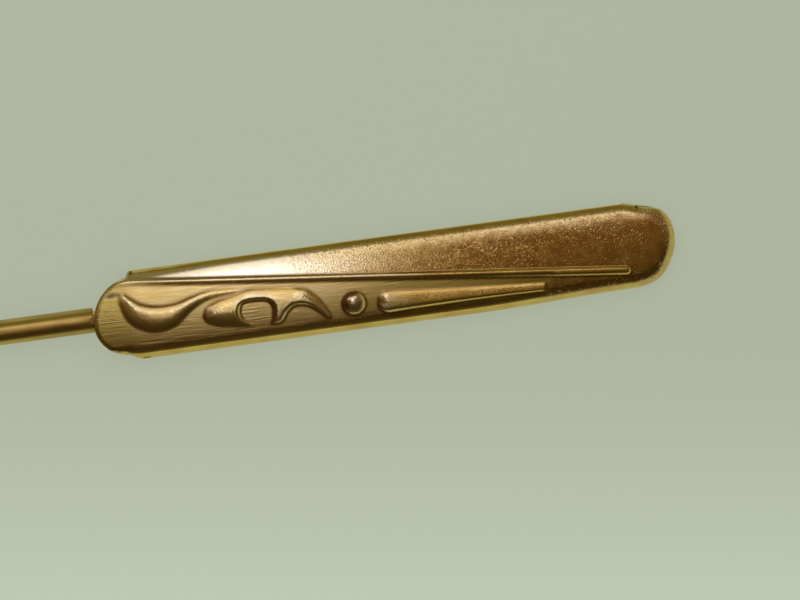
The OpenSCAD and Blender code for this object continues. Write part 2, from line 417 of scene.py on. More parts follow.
def wall_profile(side, lowest, lip):
    """The roll below the face's rim and the wall down to lowest or, with a lip, to the fold and the lip.

    Gives four grids with a column for each entry of side: the distance from the middle, the height, and
    the outward normal's two parts.
    """
    first = np.arcsin(face_lean(tongue_r, side))
    turn = first + np.linspace(0, 1, ROLL_POINTS)[:, None] * (np.pi / 2 - first)
    roll_away, roll_height = on_roll(np.sin(turn), side)
    wall_end = base_z + fold_out_r if lip else lowest
    wall = roll_height[-1] + np.linspace(0, 1, WALL_POINTS)[1:, None] * (wall_end - roll_height[-1])
    away = [roll_away, np.full(wall.shape, half_w)]
    height = [roll_height, wall]
    out = [np.sin(turn), np.ones(wall.shape)]
    up = [np.cos(turn), np.zeros(wall.shape)]
    if lip:
        even = np.ones((1, side.size))
        fold = np.radians(np.linspace(0, 90, FOLD_POINTS))[1:, None] * even
        flat = np.linspace(half_w - fold_out_r, half_w - lip_w, LIP_POINTS)[1:, None] * even
        away += [half_w - fold_out_r + fold_out_r * np.cos(fold), flat]
        height += [base_z + fold_out_r - fold_out_r * np.sin(fold), np.full(flat.shape, base_z)]
        out += [np.cos(fold), np.zeros(flat.shape)]
        up += [-np.sin(fold), -np.ones(flat.shape)]
    return [np.concatenate(part) for part in (away, height, out, up)]


print("wall with its fold and lip:", len(wall_profile(np.ones(1), base_z, lip=True)[0]), "points")

# %% [markdown]
# ## The stamped ornament
#
# A die pushes the ornament up in soft forms with crisp feet. Each form lies between rails, smooth curves
# through a few points. From each rail the metal climbs with its own slope and firmness to a level top, and
# the least of these climbs, softly blended, is the form. So the distances to the rails are all that is
# needed. The forms are drawn into one height map, where they can overlap, and a slight blur at the end
# rounds their feet as struck sheet does.

# %% Rails of the leaf and the scroll
FOOT_Y = -1.5

leaf_full = [[1.4, 2.5], [1.37, 1.95], [1.75, 1.06], [2.75, 0.53],
             [3.85, 0.67], [4.7, 1.3], [5.55, 1.71], [7.05, 1.9]]
leaf_hollow = [[1.47, 2.64], [1.9, 2.33], [2.4, 1.98], [3.1, 1.8],
               [3.95, 1.81], [4.75, 2], [5.65, 2.16], [7.05, 2.0]]
scroll_eye = [[7.62, 0.26], [7.28, 0.4], [7.06, 0.62], [7, 0.85], [7.02, 1.05], [7.1, 1.24], [7.3, 1.34],
              [7.75, 1.35], [8.25, 1.3], [8.5, 1.08], [8.53, 0.75], [8.45, 0.4], [8.3, 0.14]]
scroll_arch = [[8.8, 0.13], [9, 0.28], [9.12, 0.45], [9.3, 0.66], [9.6, 0.85], [10.1, 0.82], [10.55, 0.56],
               [11, 0.12]]
scroll_outer = [[7.62, 0.2], [6.6, 0.28], [5.7, 0.48], [5.22, 0.82], [5.4, 1.35], [5.9, 1.62], [6.6, 1.78],
                [7.5, 2], [8.5, 1.92], [9.4, 1.82], [10.1, 1.68], [10.5, 1.38], [10.9, 0.9], [11.3, 0.1]]


def rail(points, steps=96):
    """A smooth curve through points above the foot line: each stretch is a cubic led by its neighbours."""
    p = np.array(points, float) + [0, FOOT_Y]
    p = np.concatenate([p[:1], p, p[-1:]])
    s = np.linspace(0, len(points) - 1, steps)
    i = np.minimum(s.astype(int), len(points) - 2)
    t = (s - i)[:, None]
    a, b, c, d = p[i], p[i + 1], p[i + 2], p[i + 3]
    bend = (2 * a - 5 * b + 4 * c - d) * t**2 + (3 * b - a - 3 * c + d) * t**3
    return 0.5 * (2 * b + (c - a) * t + bend)


def bar_rail(nose, tail, nose_w, tail_w, taper, side, steps=48):
    """One edge of a bar: a quarter circle round its nose, then a width that tapers to its tail."""
    d = (tail - nose) / np.hypot(*(tail - nose))
    n = side * np.array([d[1], -d[0]])
    turn = np.radians(np.linspace(2, 88, 12))[:, None]
    t = np.linspace(0, 1, steps)[:, None]
    half = (tail_w + (nose_w - tail_w) * (1 - t) ** taper) / 2
    round_nose = nose - d * np.cos(turn) * nose_w / 2 + n * np.sin(turn) * nose_w / 2
    return np.concatenate([round_nose, nose + (tail - nose) * t + n * half])


print("leaf from", rail(leaf_full)[0].round(2), "to", rail(leaf_full)[-1].round(2))

# %% Height map
MAP_STEP = 0.02
map_x = np.arange(-0.5, head_len + 0.5, MAP_STEP)
map_y = np.arange(-half_w - 0.2, half_w + 0.2, MAP_STEP)
relief = np.zeros((map_y.size, map_x.size))


def distance_to(line, x, y):
    """Distance from each place to a line of points: the least over its straight stretches."""
    a, b = line[:-1], line[1:]
    along = b - a
    px = x.reshape(-1, 1) - a[:, 0]
    py = y.reshape(-1, 1) - a[:, 1]
    length = np.maximum((along**2).sum(1), 1e-12)
    t = np.clip((px * along[:, 0] + py * along[:, 1]) / length, 0, 1)
    gap = np.hypot(px - t * along[:, 0], py - t * along[:, 1])
    return gap.min(1).reshape(x.shape)


def inside_of(outline, x, y):
    """True where a line drawn to the right crosses the outline an odd number of times."""
    a = outline
    b = np.roll(outline, -1, axis=0)
    py = y.reshape(-1, 1)
    spans = (a[:, 1] > py) != (b[:, 1] > py)
    rise = np.where(b[:, 1] == a[:, 1], 1e-12, b[:, 1] - a[:, 1])
    crossing = a[:, 0] + (py - a[:, 1]) * (b[:, 0] - a[:, 0]) / rise
    hits = spans & (x.reshape(-1, 1) < crossing)
    return (hits.sum(1) % 2 == 1).reshape(x.shape)


def raise_form(outline, lines, rise, soft=0.02):
    """Adds a form that climbs from the lines at its foot and levels off.

    Each line has the slope with which the form leaves it and a firmness, which says how long it keeps that
    slope. The rise and the slopes are one number or one for each column of the map. A line gives the height
    rise x (1 - exp(-(slope x distance / rise)^firmness))^(1 / firmness). The form is the soft least of the
    heights h of all its lines, -soft x log(sum of exp(-h / soft)).
    """
    columns = (map_x >= outline[:, 0].min()) & (map_x <= outline[:, 0].max())
    rows = (map_y >= outline[:, 1].min()) & (map_y <= outline[:, 1].max())
    spot = np.ix_(rows, columns)
    x, y = np.meshgrid(map_x[columns], map_y[rows])
    rise = np.broadcast_to(rise, map_x.shape)[columns]
    total = 0
    for line, slope, firmness in lines:
        climb = np.broadcast_to(slope, map_x.shape)[columns] * distance_to(line, x, y) / rise
        height = rise * (1 - np.exp(-(climb**firmness))) ** (1 / firmness)
        total = total + np.exp(-height / soft)
    height = np.maximum(-soft * np.log(total), 0)
    relief[spot] = np.maximum(relief[spot], np.where(inside_of(outline, x, y), height, 0))


print("height map of", relief.shape, "points")

# %% Bead, leaf and scroll
BEAD_W = 0.44
BEAD_TAIL_W = 0.8 * BEAD_W
BEAD_FADE = 0.35
BEAD_FADE_TO = 4.0
bead_nose = np.array([head_len - 2.52, -1.07])
bead_tail = np.array([1.3, 1.6])
bead_change = [14, 20]
bead_slope = np.interp(map_x, bead_change, [0.5, 1.2])
bead_rise = np.interp(map_x, bead_change, [0.11, 0.16])
CUT_SLOPE = 1.1
CUT_FIRMNESS = 4
SCROLL_RISE = 0.2
eye_line = rail(scroll_eye)
arch_line = rail(scroll_arch)
outer_line = rail(scroll_outer)
leg_foot = np.stack([eye_line[-1], arch_line[0]])


def smooth_step(value, low, high):
    """Climbs from 0 at low to 1 at high, level at both ends: 3t^2 - 2t^3."""
    t = np.clip((value - low) / (high - low), 0, 1)
    return t * t * (3 - 2 * t)


def raise_bar(nose, tail, nose_w, tail_w, taper, rise, slopes, firmness):
    """Adds a bar with a round nose and a cut tail, with its own slope and firmness on each side."""
    sides = [bar_rail(nose, tail, nose_w, tail_w, taper, side) for side in (1, -1)]
    cut = np.stack([sides[0][-1], sides[1][-1]])
    lines = list(zip(sides, slopes, firmness)) + [(cut, CUT_SLOPE, CUT_FIRMNESS)]
    raise_form(np.concatenate([sides[0], sides[1][::-1]]), lines, rise)


raise_bar(bead_nose, bead_tail, BEAD_W, BEAD_TAIL_W, 1.0, bead_rise, (bead_slope, bead_slope), (3, 3))
relief *= BEAD_FADE + (1 - BEAD_FADE) * smooth_step(map_x, bead_tail[0], BEAD_FADE_TO)
leaf_rise = np.interp(map_x, [4.4, 5.8], [0.19, 0.09])
hollow_slope = np.interp(map_x, [2.4, 3.4], [0.9, 0.6])
leaf_lines = [(rail(leaf_full), 0.5, 1), (rail(leaf_hollow), hollow_slope, 1)]
raise_form(np.concatenate([leaf_lines[0][0], leaf_lines[1][0][::-1]]), leaf_lines, leaf_rise)
outer_slope = np.interp(map_x, [5.6, 6.5, 9.6, 10.3], [0.62, 0.48, 0.48, 0.85])
scroll_outline = np.concatenate([outer_line, arch_line[::-1], eye_line[::-1]])
scroll_lines = [(outer_line, outer_slope, 1), (eye_line, 0.95, 4), (arch_line, 0.95, 4), (leg_foot, 0.8, 4)]
raise_form(scroll_outline, scroll_lines, SCROLL_RISE)
print("ornament rises", relief.max().round(3), "mm")

# %% Drop and ball
DROP_W = 1.1
DROP_TAIL_W = 0.46
DROP_LIFT = -0.04
DROP_RISE = 0.2
DROP_SLOPES = (1.6, 0.6)
DROP_FIRMNESS = (1.5, 1)
DROP_TAPER = 1.5
DROP_LEN = 8.1
DROP_X = 13.5
drop_nose = np.array([DROP_X + DROP_W / 2, FOOT_Y + DROP_LIFT + DROP_W / 2])
drop_tail = np.array([DROP_X + DROP_LEN, FOOT_Y + DROP_LIFT + DROP_TAIL_W / 2])
BALL_D = 1.16
BALL_RISE = 0.27
BALL_LIFT = 0.05
BALL_X = 12.4
ball_at = np.array([BALL_X, FOOT_Y + BALL_LIFT + BALL_D / 2])


def raise_ball(centre, across, rise):
    """Adds the cap of a sphere: its radius is (half^2 + rise^2) / (2 rise)."""
    half = across / 2
    ball_r = (half**2 + rise**2) / (2 * rise)
    x, y = np.meshgrid(map_x - centre[0], map_y - centre[1])
    cap = np.sqrt(np.maximum(ball_r**2 - x**2 - y**2, 0)) - (ball_r - rise)
    np.maximum(relief, cap, out=relief)


raise_bar(drop_nose, drop_tail, DROP_W, DROP_TAIL_W, DROP_TAPER, DROP_RISE, DROP_SLOPES, DROP_FIRMNESS)
raise_ball(ball_at, BALL_D, BALL_RISE)
print("with drop and ball", relief.max().round(3), "mm")

# %% [markdown]
# ## Ground, hollows, painted shade and worn crests
#
# Round the ornament the die left a slightly sunken ground with fine lines along the head. It ends under
# the bead and at a slanting step behind the drop. Brown tarnish stays in the hollows. Steep flanks that face
# up or to the left get the same brown as painted shade. The crests are rubbed bright and later painted as a
# highlight too, and a grey scuff marks the tongue. Such maps are kept beside the height map and go into the
# mesh as attributes, so that the finish can read them.

# %% Ground and raised forms
STEP_FOOT = np.array([21.57, -1.5])
STEP_TOP = np.array([21.9, -0.95])
GROUND_SOFT = 0.05
STEP_SOFT = 0.04
RAISED_FULL = 0.04
RAISED_SOFT = 0.012
LINED_FADE = 0.4


def blurred(field, spread):
    """A soft copy of a map: a Gaussian of that spread in millimetres, along one axis and then the other."""
    reach = int(np.ceil(3 * spread / MAP_STEP))
    offsets = np.arange(-reach, reach + 1)
    weights = np.exp(-0.5 * (offsets * MAP_STEP / spread) ** 2)
    weights /= weights.sum()
    soft = sum(w * np.roll(field, o, axis=0) for w, o in zip(weights, offsets))
    return sum(w * np.roll(soft, o, axis=1) for w, o in zip(weights, offsets))


def ground_map():
    """1 on the lined ground: under the bead's middle line and before the slanting step."""
    x, y = np.meshgrid(map_x, map_y)
    bead_run = bead_nose - bead_tail
    step_run = STEP_TOP - STEP_FOOT
    bead_line = bead_tail[1] + (x - bead_tail[0]) * bead_run[1] / bead_run[0]
    step_line = STEP_FOOT[0] + (y - STEP_FOOT[1]) * step_run[0] / step_run[1]
    under_bead = smooth_step(bead_line - y, -GROUND_SOFT, GROUND_SOFT)
    before_step = smooth_step(step_line - x, -STEP_SOFT, STEP_SOFT)
    return under_bead * before_step


ground = ground_map()
raised = blurred(smooth_step(relief, 0.0, RAISED_FULL), RAISED_SOFT)
lined = ground * (1 - raised) * smooth_step(map_y, FOOT_Y - LINED_FADE, FOOT_Y)[:, None]
burnished = (1 - ground) * (1 - raised)
print("lined ground covers", lined.mean().round(3), "and the plain half", burnished.mean().round(3))

# %% Sunken ground, scuff and rim
GROUND_DEPTH = 0.025
SCUFF_AT = (1.0, 1.0)
SCUFF_SIZE = (0.3, 0.1)
SCUFF_DEPTH = 0.03
RIM_SPAN = (0.3, 0.75)
RELIEF_SOFT = 0.017
along_scuff = (map_x - SCUFF_AT[0]) / SCUFF_SIZE[0]
across_scuff = (map_y - SCUFF_AT[1]) / SCUFF_SIZE[1]
scuff = np.exp(-along_scuff**2 - across_scuff[:, None] ** 2)
past_end = np.maximum(map_x - end_x, 0)
rim = 1 - smooth_step(half_w - np.hypot(past_end, map_y[:, None]), *RIM_SPAN)
relief = blurred(relief - GROUND_DEPTH * ground * (1 - rim) - SCUFF_DEPTH * scuff, RELIEF_SOFT)
print("relief from", relief.min().round(3), "to", relief.max().round(3), "mm")

# %% Hollows and crests
SHADED_FLANK_SPAN = (0.3, 0.5)
SHADED_FLANK_END = (16, 20)
HOLLOW_SOFT = 0.055
HOLLOW_FULL = 0.012
HOLLOW_FADE = (14, 18)
CREST_SOFT = 0.25
CREST_FULL = 0.1
down_y, down_x = np.gradient(-relief, MAP_STEP)
# Flanks that face up or to the left get painted shade: they join the tarnish in the hollow map.
up_left = np.maximum(down_y - np.maximum(down_x, 0), -down_x)
shaded_flanks = smooth_step(up_left, *SHADED_FLANK_SPAN) * (1 - smooth_step(map_x, *SHADED_FLANK_END))
hollow = np.clip((blurred(relief, HOLLOW_SOFT) - relief) / HOLLOW_FULL, 0, 1) * (1 - 0.8 * raised)
hollow = np.maximum(hollow, shaded_flanks * (1 - rim)) * (1 - 0.5 * smooth_step(map_x, *HOLLOW_FADE))
crest = np.clip((relief - blurred(relief, CREST_SOFT)) / CREST_FULL, 0, 1)
print("hollows cover", (hollow > 0.3).mean().round(3), "crests", (crest > 0.3).mean().round(3))

# %% [markdown]
# ## The stamped face
#
# The face, its folded sides and its round end are one sheet. Its outside is built from three grids that
# share their edges: the face itself from rim to rim, the two sides with their folds and lips, and the
# skirt round the end. The same points moved inwards by the sheet's thickness make the inside, and narrow
# strips close the cut edges. A Solidify modifier could thicken the sheet too, but this way the ornament
# stays out of the inside. Fine columns are spent only where the ornament is. Small faults of the real piece
# are modelled too: a slit and a standing corner at the round end, an open corner where the upper fold
# starts, and a flaked spot on the lower roll.

# %% How the folded head departs from a straight bar
TAPER_LOW = 0.09
LOW_SPREAD = 0.025
TAPER_HIGH = 0.1
TAPER_FROM = 18.0
CORNER_FROM = 25.65
CORNER_TO = 26.5
ROUND_FROM = 26.0
ROUND_TO = 27.4
HIGH_END = (26.7, 27.6)
END_LIFT = 0.12
TIP_LIFT = 0.2
TIP_FROM = 27.0
FOLD_FROM = {1: 1.8, -1: 1.35}
FOLD_FULL = 2.1
FOLD_EARLY = 0.1
FOLD_SLANT = 0.45
SLANT_FADE = 0.8
STOOP_FROM = 1.42
STOOP = 0.35
STOOP_END = (2.5, 7.0)


def hand_taper(x, y):
    """The head narrows a little to its round end, which sits high, and its lower side stands out.

    A distance from the middle loses the share low or high of itself, and the end is lifted twice.
    """
    before_tip = 1 - smooth_step(x, ROUND_FROM, ROUND_TO)
    spread = LOW_SPREAD * smooth_step(x, FOLD_FROM[-1], FOLD_FULL)
    low = (TAPER_LOW * smooth_step(x, TAPER_FROM, end_x) - spread) * before_tip
    corner = np.clip((x - CORNER_FROM) / (CORNER_TO - CORNER_FROM), 0, 1)
    high = TAPER_HIGH * corner * (1 - smooth_step(x, *HIGH_END))
    end_lift = END_LIFT * smooth_step(x, CORNER_FROM, ROUND_TO)
    tip_lift = TIP_LIFT * smooth_step(x, TIP_FROM, head_len)
    return y * (1 - np.where(y < 0, low, high)) + end_lift + tip_lift


def fold_starts(x, y):
    """The lower fold grows out of the tongue slowly, and the upper one starts with a slanting edge.

    Above, x gains FOLD_SLANT x the distance beyond the tongue's width. Below, that distance is taken
    back as far as the fold has not grown.
    """
    beyond = np.maximum(np.abs(y) - tongue_r, 0)
    slant = FOLD_SLANT * beyond * (1 - smooth_step(x, FOLD_FROM[1], FOLD_FROM[1] + SLANT_FADE))
    grown = smooth_step(x, FOLD_FROM[-1] - FOLD_EARLY, FOLD_FULL)
    return np.where(y > 0, x + slant, x), np.where(y < 0, y + beyond * (1 - grown), y)


def stoop(x, y, z):
    """Beside the tongue the upper side hangs lower, the face most and the lip not at all.

    It sinks by STOOP x (distance beyond STOOP_FROM)^2 x share of the head's height.
    """
    beyond = np.maximum(y - STOOP_FROM, 0)
    share = np.clip((z - plate_base) / (face_top - plate_base), 0, 1)
    return STOOP * beyond**2 * share * (1 - smooth_step(x, *STOOP_END))


print("the tip sits", hand_taper(head_len, 0.0).round(3), "mm high")

# %% Rows and columns of the face
TONGUE_SKEW = 0.35
MIDDLE_ROWS = 73


def stretches(*parts):
    """Joins stretches, each a start, an end and a step, into one rising list of places."""
    lists = [np.linspace(a, b, int(round((b - a) / step)), endpoint=False) for a, b, step in parts]
    return np.concatenate(lists + [[parts[-1][1]]])


def tongue_edge(y):
    """The tongue's round tip, cut by the folds: two quarter circles that meet below the middle."""
    reach = y + TONGUE_SKEW
    radius = tongue_r + np.sign(reach) * TONGUE_SKEW
    arc = radius - np.sqrt(np.maximum(radius**2 - reach**2, 0))
    return np.minimum(arc, np.where(y > 0, FOLD_FROM[1], FOLD_FROM[-1]))


rim_turn = np.radians([61, 66, 71, 75.5, 79.2, 82.8, 86.5, 90])
rim_rows = tongue_r * np.sin(rim_turn)
middle_rows = np.linspace(-rim_rows[0], rim_rows[0], MIDDLE_ROWS)
rows = np.concatenate([-rim_rows[::-1], middle_rows[1:-1], rim_rows])
columns = stretches((0, 0.3, 0.03), (0.3, 1.2, 0.09), (1.2, 11.6, 0.045), (11.6, 14.4, 0.06),
                    (14.4, 21.3, 0.12), (21.3, 22.1, 0.05), (22.1, 25.2, 0.12),
                    (25.2, head_len, 0.07)) / head_len
print("face grid", rows.size, "x", columns.size)


# %% The three grids
def face_grid():
    """Points of the face: columns run from the tongue's round tip to the arc where the skirt starts.

    The plain height follows the distance from the middle line, or from the end's centre beyond it.
    """
    left = tongue_edge(rows)
    right = end_x + np.sqrt(np.maximum(tongue_r**2 - rows**2, 0))
    x = left[:, None] + columns[None, :] * (right - left)[:, None]
    y = np.repeat(rows[:, None], columns.size, axis=1)
    past = np.maximum(x - end_x, 0)
    away = np.hypot(past, y)
    safe = np.maximum(away, 1e-9)
    lean = face_lean(away, y / safe)
    plain = np.stack([x, y, face_height(away, y / safe)], axis=-1)
    normal = np.stack([lean * past / safe, lean * y / safe, np.sqrt(1 - lean**2)], axis=-1)
    return plain, normal


def side_grid(side, places):
    """Points of a folded side: the wall's profile carried along X."""
    away, height, out, up = wall_profile(np.full(places.size, float(side)), base_z, lip=True)
    x = np.broadcast_to(places, away.shape)
    plain = np.stack([x, side * away, height], axis=-1)
    normal = np.stack([np.zeros(away.shape), side * out, up], axis=-1)
    return plain, normal


def skirt_grid():
    """Points of the skirt: the wall's profile carried round the end's centre, one column for each row."""
    turn = np.arcsin(rows / tongue_r)
    away, height, out, up = wall_profile(np.sin(turn), plate_base, lip=False)
    plain = np.stack([end_x + away * np.cos(turn), away * np.sin(turn), height], axis=-1)
    normal = np.stack([out * np.cos(turn), out * np.sin(turn), up], axis=-1)
    return plain, normal


FOLD_FINE = 2.7
FOLD_STEP = 0.25


def side_columns(places, start):
    """Which of the rim's columns a side goes on with: all near its ends, and one in every FOLD_STEP."""
    even = np.searchsorted(places, np.arange(FOLD_FINE, CORNER_FROM - FOLD_STEP, FOLD_STEP))
    ends = np.flatnonzero((places < FOLD_FINE) | (places > CORNER_FROM - FOLD_STEP))
    picks = np.union1d(even, ends)
    return picks[places[picks] >= start]


face_plain, face_normal = face_grid()
print("face", face_plain.shape[:2], "skirt", skirt_grid()[0].shape[:2])


# %% All grids as one skin
def grid_quads(rows, columns, first=0):
    """Corner numbers of the quads of a grid whose points are counted along its rows."""
    corner = first + np.arange(rows - 1)[:, None] * columns + np.arange(columns - 1)[None, :]
    corner = corner.ravel()
    return np.stack([corner, corner + 1, corner + columns + 1, corner + columns], axis=1)


def zipped(fine, coarse, fine_x, coarse_x):
    """Triangles between a fine row and a coarse one: each fine stretch goes to its nearest coarse point."""
    nearest = np.abs((fine_x[:-1] + fine_x[1:])[:, None] / 2 - coarse_x[None, :]).argmin(1)
    fans = np.stack([fine[:-1], fine[1:], coarse[nearest]], axis=1)
    change = np.flatnonzero(np.diff(nearest)) + 1
    gaps = np.stack([fine[change], coarse[nearest[change]], coarse[nearest[change - 1]]], axis=1)
    ends = np.array([[fine[0], coarse[nearest[0]], coarse[0]], [fine[-1], coarse[-1], coarse[nearest[-1]]]])
    triangles = np.concatenate([fans, gaps, ends])
    proper = (triangles != np.roll(triangles, 1, axis=1)).all(1)
    return triangles[proper]


def flipped(faces, flip):
    """The same faces, turned round where asked."""
    return faces[:, ::-1] if flip else faces


def face_skin():
    """All grids as one: the outside points, the normal at each of them, the quads and the triangles."""
    plains, normals, quads, triangles = [face_plain], [face_normal], [], []
    face_number = np.arange(face_plain[..., 0].size).reshape(face_plain.shape[:2])
    quads.append(grid_quads(*face_number.shape))
    first = face_number.size
    for side, row in ((1, -1), (-1, 0)):
        places = face_plain[row, :, 0]
        picks = side_columns(places, FOLD_FROM[side])
        edge = face_number[row, picks[0]:]
        plain, normal = (part[1:] for part in side_grid(side, places[picks]))
        number = first + np.arange(plain[..., 0].size).reshape(plain.shape[:2])
        quads.append(flipped(grid_quads(*number.shape, first=first), side < 0))
        seam = zipped(edge, number[0], places[picks[0]:], places[picks])
        triangles.append(flipped(seam, side < 0))
        first += number.size
        plains.append(plain)
        normals.append(normal)
    plain, normal = skirt_grid()
    quads.append(grid_quads(*plain.shape[:2], first=first)[:, ::-1])
    plains.append(plain)
    normals.append(normal)
    points = [np.concatenate([part.reshape(-1, 3) for part in parts]) for parts in (plains, normals)]
    return points[0], points[1], np.concatenate(quads), np.concatenate(triangles)


plain, normal, quads, triangles = face_skin()
print("skin:", len(plain), "points,", len(quads), "quads,", len(triangles), "triangles")

# %% Slit, open corner and flaked spot
SLIT_X = end_x + 0.45
SLIT_W = 0.045
SLIT_LOW = 1.77
SLIT_HIGH = 2.03
OPEN_CORNER = (1.98, 2.0)
OPEN_CORNER_R = 0.085
FLAKE_AT = (2.28, -2.06)
FLAKE_HALF = (0.2, 0.03)
WELDS_PER_MM = 1e4


def outside_slits(faces, points):
    """True for faces whose middle lies outside the slit, the open corner and the flaked spot."""
    middle = points[faces].mean(1)
    near = np.abs(middle[:, 0] - SLIT_X) < SLIT_W / 2
    deep = (middle[:, 1] > SLIT_LOW) & (middle[:, 1] < SLIT_HIGH)
    corner = np.hypot(middle[:, 0] - OPEN_CORNER[0], middle[:, 1] - OPEN_CORNER[1]) < OPEN_CORNER_R
    along_flake = (middle[:, 0] - FLAKE_AT[0]) / FLAKE_HALF[0]
    across_flake = (middle[:, 1] - FLAKE_AT[1]) / FLAKE_HALF[1]
    flake = np.hypot(along_flake, across_flake) < 1
    return ~((near & deep) | (corner & (middle[:, 2] > 0)) | (flake & (middle[:, 2] > base_z / 2)))


quads = quads[outside_slits(quads, plain)]
spots = (plain * WELDS_PER_MM).round().astype(np.int64)
weld, back_to = np.unique(spots, axis=0, return_index=True, return_inverse=True)[1:]
back_to = back_to.ravel()
plain, normal = plain[weld], normal[weld]
quads, triangles = back_to[quads], back_to[triangles]
print("outside:", len(plain), "points,", len(quads), "quads,", len(triangles), "triangles")

# %% Rubbed tongue and standing corner
DROOP_W = 0.24
DROOP = 0.09
EAR_PLAN = np.array([[25.6, 1.9], [25.67, 2.12], [27.12, 1.76], [26.95, 1.6]])
EAR_TOP = 0.05
EAR_BASE = -0.5
EAR_FACES = [[0, 1, 2, 3], [7, 6, 5, 4], [0, 4, 5, 1], [1, 5, 6, 2], [2, 6, 7, 3], [3, 7, 4, 0]]


def tongue_droop(x, y):
    """The tongue's cut edge is rubbed round: it sinks by DROOP x (1 - distance / DROOP_W)^2."""
    line = np.column_stack([tongue_edge(rows), rows])
    droop = np.zeros(len(x))
    near = np.flatnonzero(x < tongue_r + DROOP_W)
    share = np.clip(1 - distance_to(line, x[near], y[near]) / DROOP_W, 0, 1)
    droop[near] = DROOP * share**2
    return droop


def ear_points():
    """The corner of the folded side that stands out a little from under the round end, four by four."""
    levels = [np.column_stack([EAR_PLAN, np.full(4, level)]) for level in (EAR_BASE, EAR_TOP)]
    return np.concatenate(levels)


print("standing corner from", ear_points().min(0), "to", ear_points().max(0))

# %% Raise the ornament and make the piece
FACE_LEAST_UP = 0.3


def read_map(field, x, y):
    """The value of a map at places between its grid points, blended from the four round each place."""
    i = np.clip((x - map_x[0]) / MAP_STEP, 0, map_x.size - 1.001)
    j = np.clip((y - map_y[0]) / MAP_STEP, 0, map_y.size - 1.001)
    i0 = i.astype(int)
    j0 = j.astype(int)
    di = i - i0
    dj = j - j0
    low = field[j0, i0] * (1 - di) + field[j0, i0 + 1] * di
    high = field[j0 + 1, i0] * (1 - di) + field[j0 + 1, i0 + 1] * di
    return low * (1 - dj) + high * dj


def thick_sheet(outer, inner, quads, triangles):
    """Outside, inside turned round, and a strip along every edge that only one face uses."""
    count = len(outer)
    edges = np.concatenate([np.stack([f, np.roll(f, -1, axis=1)], -1).reshape(-1, 2)
                            for f in (quads, triangles)])
    forward = edges[:, 0] * count + edges[:, 1]
    backward = edges[:, 1] * count + edges[:, 0]
    a, b = edges[~np.isin(forward, backward)].T
    strips = np.stack([b, a, a + count, b + count], axis=1)
    faces = [quads, quads[:, ::-1] + count, strips, triangles, triangles[:, ::-1] + count]
    return np.concatenate([outer, inner]), [face for block in faces for face in block.tolist()]


outer = plain.copy()
inner = plain - sheet_t * normal
on_face = (np.abs(plain[:, 1]) <= tongue_r + 1e-6) & (normal[:, 2] > FACE_LEAST_UP)
for skin in (outer, inner):
    skin[:, 0], skin[:, 1] = fold_starts(skin[:, 0], skin[:, 1])
    skin[:, 1] = hand_taper(skin[:, 0], skin[:, 1])
    skin[:, 2] -= stoop(skin[:, 0], skin[:, 1], skin[:, 2])
outer[:, 2] += np.where(on_face, read_map(relief, outer[:, 0], outer[:, 1]), 0)
outer[:, 2] -= tongue_droop(plain[:, 0], plain[:, 1]) * on_face
points, faces = thick_sheet(outer, inner, quads, triangles)
faces += [[i + len(points) for i in face] for face in EAR_FACES]
points = np.concatenate([points, ear_points()])
points[:, 0] += head_x
stamped_face = make_piece("stamped_face", points, faces, "face_shell", "stamped_gold")

# %% Maps into the mesh
SKIRT_WEAR = 0.5


def add_attribute(piece, name, values):
    """One number for each point of a piece, for its material to read."""
    attribute = piece.data.attributes.new(name, "FLOAT", "POINT")
    attribute.data.foreach_set("value", values.astype(np.float32))


finish_and_shade_maps = {"lined": lined, "burnished": burnished, "raised": raised, "hollow": hollow, "crest": crest,
               "scuff": scuff, "rim": rim}
shares = np.where(on_face, 1.0, SKIRT_WEAR * (plain[:, 0] > end_x) * (normal[:, 2] > 0))
for name, field in finish_and_shade_maps.items():
    values = shares * read_map(field, outer[:, 0], outer[:, 1])
    add_attribute(stamped_face, name, np.concatenate([values, np.zeros(len(points) - len(outer))]))
# The inside skin and the standing corner are marked as inside and painted dark: tarnish, and painted shade
# where they lie in the head's shadow.
add_attribute(stamped_face, "inside", (np.arange(len(points)) >= len(outer)).astype(float))
print("maps in the mesh:", [*finish_and_shade_maps, "inside"])

# %% [markdown]
# ## The back strip
#
# A plain strip with round ends lies on the lips and closes the back. Its edge is the outline of a slot,
# and the strip is that outline drawn in towards the slot's middle line: the distance from the line and
# the height follow a small profile with softened corners.

# %% Back strip
STRIP_SOFT = 0.06
STRIP_ROUND = 40
STRIP_CORNER = 6
STRIP_FLAT = 8


def slot_ring(x0, x1, steps):
    """Middle-line points and outward directions once round a slot, straight on two sides."""
    turn = np.linspace(np.pi / 2, 3 * np.pi / 2, steps)
    left = np.column_stack([np.cos(turn), np.sin(turn)])
    along = np.linspace(x0, x1, steps)[1:-1]
    line = np.concatenate([np.full(steps, x0), along, np.full(steps, x1), along[::-1]])
    down = np.tile([0.0, -1.0], (along.size, 1))
    return line, np.concatenate([left, down, -left, -down])


def closed_tube(rings, flip=False):
    """A grid of rings as a closed shape: each ring joins up with itself, and both ends get a cap."""
    number = np.arange(rings[..., 0].size).reshape(rings.shape[:2])
    wrapped = np.concatenate([number, number[:, :1]], axis=1)
    corners = [wrapped[:-1, :-1], wrapped[1:, :-1], wrapped[1:, 1:], wrapped[:-1, 1:]]
    faces = np.stack(corners, axis=-1).reshape(-1, 4).tolist()
    faces += [number[0].tolist(), number[-1][::-1].tolist()]
    return rings.reshape(-1, 3), [face[::-1] for face in faces] if flip else faces


